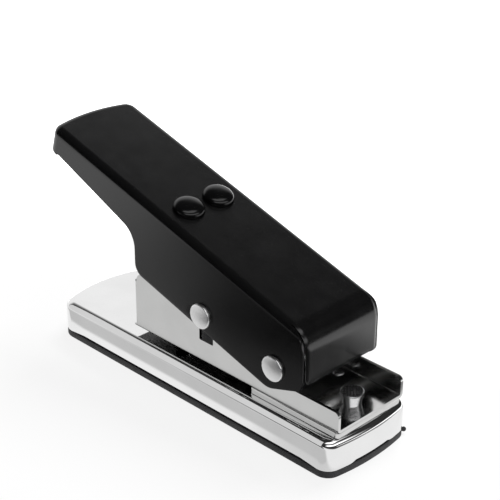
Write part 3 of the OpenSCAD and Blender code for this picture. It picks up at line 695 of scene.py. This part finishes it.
class Skin:
    """Points and faces of a sheet; points at one place are shared."""

    def __init__(self):
        self.verts, self.faces, self.index = [], [], {}

    def put(self, p):
        key = tuple(round(c, 5) for c in p)
        if key not in self.index:
            self.index[key] = len(self.verts)
            self.verts.append(p)
        return self.index[key]

    def face(self, ids):
        ids = no_repeats(ids)
        if len(set(ids)) > 2:
            self.faces.append(ids)

    def quads(self, rows):
        """Quads of a grid of points."""
        grid = [[self.put(p) for p in row] for row in rows]
        for a, b in zip(grid, grid[1:]):
            for i in range(len(a) - 1):
                self.face([a[i], b[i], b[i + 1], a[i + 1]])


def lever_side():
    """Lower edge of the side walls from the rear to the middle of the chin, and their front edge from there."""
    step_top, reach = LEV_TOP - GRIP_DEPTH, LEV_REACH - SETBACK
    pts = rounded([(-LEV_REAR - 5, LEV_TOP - LIP_DEPTH, 0), (-LEV_REAR, LEV_TOP - LIP_DEPTH, 0),
                   (along(-STEP_REACH, step_top), step_top, STEP_TOP_R),
                   (along(-STEP_REACH, -LEV_DROP), -LEV_DROP, STEP_R), (0, -LEV_DROP, CHIN_BACK_R),
                   (along(reach, 0), 0, CHIN_R), (along(reach, LEV_TOP), LEV_TOP, NOSE_R),
                   (-LEV_REAR - 5, LEV_TOP, 0)], EDGE_STEPS)[:-1]
    per_arc = EDGE_STEPS + 1
    chin = len(pts) - per_arc - (per_arc + 1) // 2
    return pts[1:chin + 1], pts[chin:]


def lever_shell():
    low, front = lever_side()
    bend_x = along(LEV_REACH, LEV_TOP) - NOSE_R * math.tan((math.pi / 2 - TILT) / 2)
    roll_z = LEV_TOP - ROLL_R
    cut_y = LEV_IN - SEAM
    seam_a = math.degrees(math.acos((cut_y - LEV_OUT + ROLL_R) / ROLL_R))
    angles = [math.radians(a) for a in ROLL_LOW + [seam_a] + ROLL_HIGH]
    n_wall = len(WALL_SHARES)
    insets = [0] * n_wall + [ROLL_R * (1 - math.cos(a)) for a in angles] + [ROLL_R + 0.3]
    tops = [roll_z + ROLL_R * math.sin(a) for a in angles] + [LEV_TOP]
    skin = Skin()

    def height(k, foot):
        """Height of row k of a column that starts at foot."""
        return foot + (roll_z - foot) * WALL_SHARES[k] if k < n_wall else tops[k - n_wall]

    def column(places):
        """Points up the wall and over the roll at places, one for each inset."""
        points = []
        for k, (x, y) in enumerate(places):
            foot = level_at(low, max(x, low[0][0]))
            foot -= LIP_DROP * (1 - ease((x + side_x - LIP_START) / LIP_RUN))
            points.append((x, y, height(k, foot)))
        return points

    # Rear end, side walls and roll up to the bend, for the +Y half
    rear = [bowed_half(LEV_REAR, LEV_OUT, GRIP_BOW, GRIP_R, d) for d in insets]
    side_x = rear[0][-1][0]
    easing = [(-side_x + LIP_START + 0.2 * i, 0) for i in range(7)]
    run = [(-side_x, 0)] + easing + [q for q in low if easing[-1][0] < q[0] < bend_x] + [(bend_x, 0)]
    cols = [column([(-r[i][0], -r[i][1]) for r in rear]) for i in range(len(rear[0]) - 1)]
    cols += [column([(x, LEV_OUT - d) for d in insets]) for x, _ in split(run, 6)]

    # Side walls ahead of the bend
    ahead = [(bend_x, level_at(low, bend_x))] + [p for p in low if p[0] > bend_x]
    front_line = sorted((z, x) for x, z in front)
    walls = []
    for xb, zb in split(ahead, 1.5):
        share = (xb - bend_x) / (ahead[-1][0] - bend_x)
        col = []
        for k in range(n_wall + len(ROLL_LOW)):
            z = height(k, zb)
            edge = level_at(front_line, max(z, front_line[0][0]))
            col.append((bend_x + share * (edge - bend_x), LEV_OUT - insets[k], z))
        walls.append(col)

    for rows in (cols, walls):
        skin.quads(rows)
        skin.quads([[mirrored(p) for p in col] for col in rows])

    # Top
    inner = (bend_x, cut_y - FLAP_IN, LEV_TOP)
    for a, b in zip(cols, cols[1:]):
        end = [mirrored(inner), inner] if b is cols[-1] else []
        skin.face([skin.put(p) for p in [a[-1], mirrored(a[-1]), mirrored(b[-1]), *end, b[-1]]])

    # Bend and front flap
    across = cols[-1][n_wall + len(ROLL_LOW):] + [inner]
    across += [mirrored(p) for p in reversed(across)]
    turn = math.pi / 2 - TILT

    def bent(z, a):
        """Point at height z of the top, turned by a about the bend."""
        r = NOSE_R - LEV_TOP + z
        return bend_x + r * math.sin(a), LEV_TOP - NOSE_R + r * math.cos(a)

    rows = [across]
    for k in range(1, BEND_STEPS + 1):
        turned_on = [bent(z, turn * k / BEND_STEPS) for _, _, z in across]
        rows.append([(px, y, pz) for (_, y, _), (px, pz) in zip(across, turned_on)])
    down = Vector((math.sin(TILT), -math.cos(TILT)))
    for k in range(1, FLAP_STEPS + 1):
        row = []
        for _, y, z in across:
            p = Vector(bent(z, turn))
            start = on_lever(p.x, 0, p.y)[2]
            over = max(0, abs(y) - (cut_y - FLAP_R)) / FLAP_R
            stop = FLAP_Z + FLAP_R * (1 - math.sqrt(max(0, 1 - over * over)))
            p += down * (start - stop) * k / FLAP_STEPS
            row.append((p.x, y, p.y))
        rows.append(row)
    skin.quads(rows)

    ob = make("lever", [on_lever(*v) for v in skin.verts], skin.faces)
    face_up(ob)
    solidify(ob, LEV_T)
    boolean(ob, [prism("cut", circle(c, PIN_R + PIN_FIT), -BEYOND, BEYOND, side_view) for c in (PIVOT, DRIVE)])
    bevel(ob, 0.12, 2, 60)
    shade(ob, 30)
    piece(ob, "lever", "black_paint", "lever_shell")


def buttons():
    """Button heads, each with a stud under the lever that tapers clear of its spring's top turns."""
    foot = -LEV_T - STUD_H
    profile = [(0, foot), (0.4, foot), (0.7, foot + 0.25), (0.85, foot + 0.8), (STUD_R, -LEV_T - 0.4), (STUD_R, 0),
               (BUTTON_R - 0.1, 0)]
    profile += [(BUTTON_R * math.cos(a) ** 0.8, BUTTON_RIM + (BUTTON_H - BUTTON_RIM) * math.sin(a) ** 0.85)
                for a in [math.pi / 2 * i / 24 for i in range(24)]] + [(0, BUTTON_H)]
    axis = (math.sin(TILT), 0, math.cos(TILT))
    places = [at(*on_lever(-SPRING_BACK, s * SPRING_Y, LEV_TOP), axis) for s in (-1, 1)]
    piece(turned("buttons", profile, places), "lever", "black_gloss", "spring_buttons")


def pins():
    """Pins with a head on the near side and a cap on the far one."""
    r, h, rim = HEAD_R, HEAD_H, HEAD_RIM
    w, rise = r - 0.5, h - rim
    big = bow_radius(w, rise)
    dome = [(big * math.sin(a), h - big * (1 - math.cos(a)))
            for a in [math.asin(w / big) * (1 - i / 14) for i in range(15)]]
    head = [(r - 0.08, 0), (r, 0.08), (r, rim - 0.5), (r - 0.1, rim - 0.2), (r - 0.25, rim - 0.06)] + dome
    end, bore, depth = -2 * LEV_OUT - h / 2, PIN_R + PIN_FIT, h / 2 + PIN_FIT
    shaft = [(0, end), (PIN_R, end), (PIN_R, 0)]
    cup = [(0, depth), (bore, depth), (bore, 0)]
    for name, (x, z) in (("pivot", PIVOT), ("drive", DRIVE)):
        ob = turned(name + "_head", shaft + head, [at(x, -LEV_OUT, z, (0, -1, 0))])
        piece(ob, "lever", "pin_chrome", name + "_pin")
        ob = turned(name + "_end", cup + head, [at(x, LEV_OUT, z, (0, 1, 0))])
        piece(ob, "lever", "pin_chrome", name + "_cap")


def pivot_washers():
    t, r, bore = LEV_IN - CHAN_W / 2 - FREE, WASHER_R, WASHER_BORE
    ring = [(bore, 0), (r - 0.2, 0), (r, 0.2), (r, t - 0.2), (r - 0.2, t), (bore, t), (bore, 0)]
    ob = turned("washers", ring, [at(PIVOT[0], s * (LEV_IN - t), PIVOT[1], (0, s, 0)) for s in (-1, 1)])
    piece(ob, "lever", "zinc_steel", "pivot_washers")


# Springs

def spring_axis(h):
    """Middle of a spring h along its curved axis, the lean of the axis there, and the axis's length."""
    x1, _, z1 = on_lever(-SPRING_BACK, 0, LEV_TOP - LEV_T)
    big = (z1 - FLOOR_Z) / math.sin(TILT)
    lean = h / big
    x0 = x1 - big * (1 - math.cos(TILT))
    return (x0 + big * (1 - math.cos(lean)), 0, FLOOR_Z + big * math.sin(lean)), lean, big * TILT


def spring(name, s, node):
    """Coil on side s with closed ends."""
    per_turn, sides = 24, 12
    r = SPRING_R - WIRE_R
    length = spring_axis(0)[2]
    rise = (length - 2 * (WIRE_R + SPRING_PLAY + CLOSED_RISE)) / (TURNS - 2)

    def wire(u):
        """Middle of the wire after u turns, and the way outwards there."""
        h = WIRE_R + SPRING_PLAY + CLOSED_RISE * min(u, 1)
        h += rise * max(0, min(u, TURNS - 1) - 1) + CLOSED_RISE * max(0, u - TURNS + 1)
        (x, _, z), lean, _ = spring_axis(h)
        a = 2 * math.pi * u
        out = Vector((math.cos(a) * math.cos(lean), math.sin(a), -math.cos(a) * math.sin(lean)))
        return Vector((x, s * SPRING_Y, z)) + r * out, out

    steps = [k / per_turn for k in range(TURNS * per_turn + 1)]
    mids = [wire(u) for u in steps]
    ways = [(wire(u + 0.01)[0] - wire(u - 0.01)[0]).normalized() for u in steps]
    tail, tip = mids[0][0] - ways[0] * 2 * WIRE_R, mids[-1][0] + ways[-1] * 2 * WIRE_R
    mids = [(tail, mids[0][1])] + mids + [(tip, mids[-1][1])]
    ways = [ways[0]] + ways + [ways[-1]]
    verts, faces = [], []
    for (c, out), way in zip(mids, ways):
        side = way.cross(out).normalized()
        for i in range(sides):
            a = 2 * math.pi * i / sides
            verts.append(tuple(c + WIRE_R * (math.cos(a) * out + math.sin(a) * side)))
    for k in range(len(mids) - 1):
        for i in range(sides):
            j = (i + 1) % sides
            faces.append([k * sides + i, k * sides + j, (k + 1) * sides + j, (k + 1) * sides + i])
    faces += [list(range(sides))[::-1], [(len(mids) - 1) * sides + i for i in range(sides)]]
    ob = make(name, verts, faces, 60)
    piece(ob, "frame", "spring_steel", node)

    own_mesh(ob)


# Punch and inside

def pick(d):
    """Pick outline grown by d, its tip to the rear, over the die."""
    s, t = (PICK_L / 2 - PICK_R, PICK_W / 2 - PICK_R), (TIP_R - PICK_L / 2, 0)
    v = (s[0] - t[0], s[1] - t[1])
    b = math.degrees(math.atan2(v[1], v[0]) + math.acos((TIP_R - PICK_R) / math.hypot(*v)))
    out = arc((s[0], -s[1]), PICK_R + d, -b, 0, PICK_STEPS) + arc(s, PICK_R + d, 0, b, PICK_STEPS)
    out += arc(t, TIP_R + d, b, 360 - b, PICK_STEPS)
    return [(x + DRIVE[0], y) for x, y in out]


def punch():
    x, z = DRIVE
    back, ahead = x - STEM_L / 2, x + STEM_L / 2
    outline = rounded([(back, PUNCH_TOP, 0), (ahead, PUNCH_TOP, 0), (ahead, STEM_TOP, 1), (back, STEM_TOP, 1)], 6)
    stem = prism("stem", outline, -STEM_T / 2, STEM_T / 2, side_view)
    r = EYE_R - 0.01
    eye = rounded([(x - EYE_BACK, z - EYE_R, r), (x + EYE_R, z - EYE_R, r), (x + EYE_R, z + EYE_R, r),
                   (x - EYE_BACK, z + EYE_R, r)], 12)
    boolean(stem, [prism("cut", eye, -10, 10, side_view)])
    bevel(stem, 0.3)
    piece(stem, "punch", "dark_steel", "punch_stem")
    head = prism("punch", pick(0), PUNCH_FOOT, PUNCH_TOP)
    bevel(head, 0.15, 2, 60)
    piece(head, "punch", "tool_steel", "punch_head", "stem_screw")


def punch_guide():
    ob = prism("guide", plate(DRIVE[0], GUIDE_L, GUIDE_W, GUIDE_R), FLOOR_Z, FLOOR_Z + GUIDE_H)
    boolean(ob, [prism("cut", pick(FIT), FLOOR_Z - 8.5, FLOOR_Z + 11.5)])
    bevel(ob, 0.3, 2, 60)
    piece(ob, "frame", "tool_steel", "punch_guide")


def dress_cad_nodes():
    """Materials of the CAD nodes that show as they are."""
    for node, slot in (("die_block", "tool_steel"), ("die_screws", "zinc_steel"), ("guide_screws", "zinc_steel")):
        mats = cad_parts[node].data.materials
        mats.clear()
        mats.append(MATS[slot])


# Stage, in metres

CAMERA_AT = (0.3284, -0.3210, 0.2857)
CAMERA_AZ, CAMERA_EL, CAMERA_ROLL = math.radians(44.56), math.radians(26.62), math.radians(0.45)
CAMERA_LENS = 101.47
SKY_BACK, SKY_FRONT, SKY_DIM = 0.94, 1.8, 0.03      # backdrop behind, soft boxes ahead, room
BACK_WAY, FRONT_WAY = (-0.866, 0.5, 0), (0.966, -0.259, 0)
# Soft boxes ahead: heights where they fade in and out, and how far ahead they begin
FRONT_BOXES = ((0.2, 0.3, 0.46, 0.58, 0.5, 0.75), (0.68, 0.8, 0.9, 0.97, 0.2, 0.34))
FLOOR_HALF, FLOOR_TINT = 4000, (0.9, 0.9, 0.9, 1)   # half length in millimetres
FLOOR_PALE, FLOOR_GAIN, WHITE_FROM, WHITE_AT = 0.85, 0.15, 0.2, 0.45
# Painted light and shade that mirrors see on the floor: close by, beside the tray, in a ring, far out, and ahead of
# the nose
NEAR_TONE, NEAR_SHADE, SIDE_TONE, RING_TONE, FAR_TONE, AHEAD_TONE = 0.98, 0.28, 0.60, 0.7, 0.06, 0.95
# Card beside the tray, in millimetres: its side, foot, rear end and front end, each end with its top
CARD_Y, CARD_FOOT, CARD_REAR, CARD_FRONT, CARD_TONE = -24.5, 12.4, (-79, 45), (67, 20.8), 0.74
KEY_AT, KEY_SIZE, KEY_WATTS = (-0.09, 0.49, 0.87), 0.5, 10


def add_camera():
    az, el, roll = CAMERA_AZ, CAMERA_EL, CAMERA_ROLL
    back = Vector((math.sin(az) * math.cos(el), -math.cos(az) * math.cos(el), math.sin(el)))
    right = Vector((math.cos(az), math.sin(az), 0))
    up = back.cross(right)
    r = right * math.cos(roll) + up * math.sin(roll)
    u = up * math.cos(roll) - right * math.sin(roll)
    data = bpy.data.cameras.new("camera")
    data.lens = CAMERA_LENS
    data.sensor_width = 36
    data.clip_start = 0.01
    cam = bpy.data.objects.new("camera", data)
    m = Matrix((r, u, back)).transposed().to_4x4()
    m.translation = Vector(CAMERA_AT)
    cam.matrix_world = m
    bpy.context.scene.collection.objects.link(cam)
    bpy.context.scene.camera = cam


def add_light():
    """Soft box behind and above, turned to the object, which mirrors don't see."""
    data = bpy.data.lights.new("key_behind", "AREA")
    data.shape = "RECTANGLE"
    data.size = data.size_y = KEY_SIZE
    data.energy = KEY_WATTS
    ob = bpy.data.objects.new("key_behind", data)
    ob.location = KEY_AT
    ob.rotation_euler = (-Vector(KEY_AT)).to_track_quat("-Z", "Y").to_euler()
    ob.visible_glossy = False
    ob.visible_camera = False
    bpy.context.scene.collection.objects.link(ob)


def add_world():
    """White to the camera; to everything else a bright backdrop behind, soft boxes ahead and a dim room."""
    world = bpy.data.worlds.new("studio")
    bpy.context.scene.world = world
    world.use_nodes = True
    nt = world.node_tree
    bg = nt.nodes["Background"]
    coord = nt.nodes.new("ShaderNodeTexCoord").outputs["Generated"]
    height = axes(nt, coord)[2]
    behind = smooth(nt, toward(nt, coord, BACK_WAY), 0.50, 0.80)
    sky = plus(nt, times(nt, times(nt, smooth(nt, height, 0.80, 0.54), behind), SKY_BACK), SKY_DIM)
    ahead = toward(nt, coord, FRONT_WAY)
    for z0, z1, z2, z3, u0, u1 in FRONT_BOXES:
        box = times(nt, smooth(nt, height, z0, z1), smooth(nt, height, z3, z2))
        box = times(nt, box, smooth(nt, ahead, u0, u1))
        sky = plus(nt, sky, times(nt, box, SKY_FRONT))
    path = nt.nodes.new("ShaderNodeLightPath")
    nt.links.new(maths(nt, "MAXIMUM", sky, path.outputs["Is Camera Ray"]), bg.inputs["Strength"])
    bg.inputs["Color"].default_value = (1, 1, 1, 1)


def floor_mirror(nt, x, y):
    """Painted light and shade of the floor, as it glows for mirrors: even close by; further out bright at the left
    and dark at the right.
    """
    # Distance from a rectangle about the base
    past = [maths(nt, "MAXIMUM", maths(nt, "SUBTRACT", maths(nt, "ABSOLUTE", v), half * MM), 0)
            for v, half in ((plus(nt, x, 0.02), NOSE_REACH), (y, BASE_W / 2))]
    away = maths(nt, "SQRT", plus(nt, *[maths(nt, "POWER", v, 2) for v in past]))
    # Close by: painted shade near the nose on the camera's side, and beside the tray
    shade_near = times(nt, smooth(nt, x, 0.02, 0.055), smooth(nt, y, 0, -0.03))
    tone = maths(nt, "SUBTRACT", NEAR_TONE, times(nt, shade_near, NEAR_SHADE))
    tone = blend(nt, tone, SIDE_TONE, smooth(nt, y, -0.0280, -0.0298))
    # Far out: painted shade, brighter to the rear and on the far side
    far = FAR_TONE
    for v, lo, hi, rise in ((x, 0, -0.075, 0.5), (x, -0.075, -0.19, 0.5), (y, 0, 0.03, 0.2), (y, 0.05, 0.07, 1.25)):
        far = plus(nt, far, times(nt, smooth(nt, v, lo, hi), rise))
    # Where the far tone begins shifts along the base
    further = away
    for lo, hi, shift in ((-0.05, 0.02, -0.004), (0.05, 0.075, 0.012)):
        further = plus(nt, further, times(nt, smooth(nt, x, lo, hi), shift))
    # painted shade: a ring about the base, then the far tone
    tone = blend(nt, tone, RING_TONE, smooth(nt, away, 0.022, 0.030))
    tone = blend(nt, tone, far, smooth(nt, further, 0.038, 0.048))
    # Painted light: a bright strip ahead of the nose
    ahead = maths(nt, "SUBTRACT", x, times(nt, smooth(nt, y, 0.026, 0.016), 0.008))
    return blend(nt, tone, AHEAD_TONE, times(nt, smooth(nt, x, 0.074, 0.078), smooth(nt, ahead, 0.0915, 0.0895)))


def add_floor():
    """Pale floor with the object's shadow, nearly white to the camera and white further out."""
    h = FLOOR_HALF
    floor = make("floor", [(-h, -h, 0), (h, -h, 0), (h, h, 0), (-h, h, 0)], [[0, 1, 2, 3]], 0)
    mat, nt = new_material("floor")
    bsdf = nt.nodes["Principled BSDF"]
    bsdf.inputs["Base Color"].default_value = FLOOR_TINT
    bsdf.inputs["Roughness"].default_value = 0.8
    bsdf.inputs["Specular IOR Level"].default_value = 0.1
    coord = object_place(nt)
    x, y, _ = axes(nt, coord)
    path = nt.nodes.new("ShaderNodeLightPath")
    camera_ray, glossy_ray = path.outputs["Is Camera Ray"], path.outputs["Is Glossy Ray"]
    glow = nt.nodes.new("ShaderNodeEmission")
    # mirrors see the floor glow with the painted light and shade of floor_mirror; the camera sees it white
    nt.links.new(maths(nt, "MAXIMUM", camera_ray, floor_mirror(nt, x, y)), glow.inputs["Strength"])
    distance = nt.nodes.new("ShaderNodeVectorMath")
    distance.operation = "LENGTH"
    nt.links.new(coord, distance.inputs[0])
    outer = smooth(nt, distance.outputs["Value"], WHITE_FROM, WHITE_AT)
    white = plus(nt, times(nt, outer, FLOOR_GAIN), FLOOR_PALE)
    mix = nt.nodes.new("ShaderNodeMixShader")
    nt.links.new(plus(nt, times(nt, camera_ray, white), glossy_ray), mix.inputs[0])
    nt.links.new(bsdf.outputs[0], mix.inputs[1])
    nt.links.new(glow.outputs[0], mix.inputs[2])
    nt.links.new(mix.outputs[0], nt.nodes["Material Output"].inputs["Surface"])
    floor.data.materials.append(mat)


def add_card():
    """Strip of white card beside the tray, seen by mirrors only."""
    y, (x0, top0), (x1, top1) = CARD_Y, CARD_REAR, CARD_FRONT
    corners = [(x0, y, CARD_FOOT), (x1, y, CARD_FOOT), (x1, y, top1), (x0, y, top0)]
    card = make("card", corners, [[0, 1, 2, 3]], 0)
    mat, nt = new_material("card")
    glow = nt.nodes.new("ShaderNodeEmission")
    glow.inputs["Strength"].default_value = CARD_TONE
    nt.links.new(glow.outputs[0], nt.nodes["Material Output"].inputs["Surface"])
    card.data.materials.append(mat)
    card.visible_camera = card.visible_shadow = card.visible_diffuse = False


add_camera()
base_tray()
base_cover()
nose_spacer()
channel_frame()
front_post()
floor_rivets()
spring_studs()
lever_shell()
buttons()
pins()
pivot_washers()
spring("coil_left", 1, "spring_left")
spring("coil_right", -1, "spring_right")
punch()
punch_guide()
dress_cad_nodes()
add_world()
add_floor()
add_light()
add_card()
bpy.context.scene.view_settings.view_transform = "Standard"
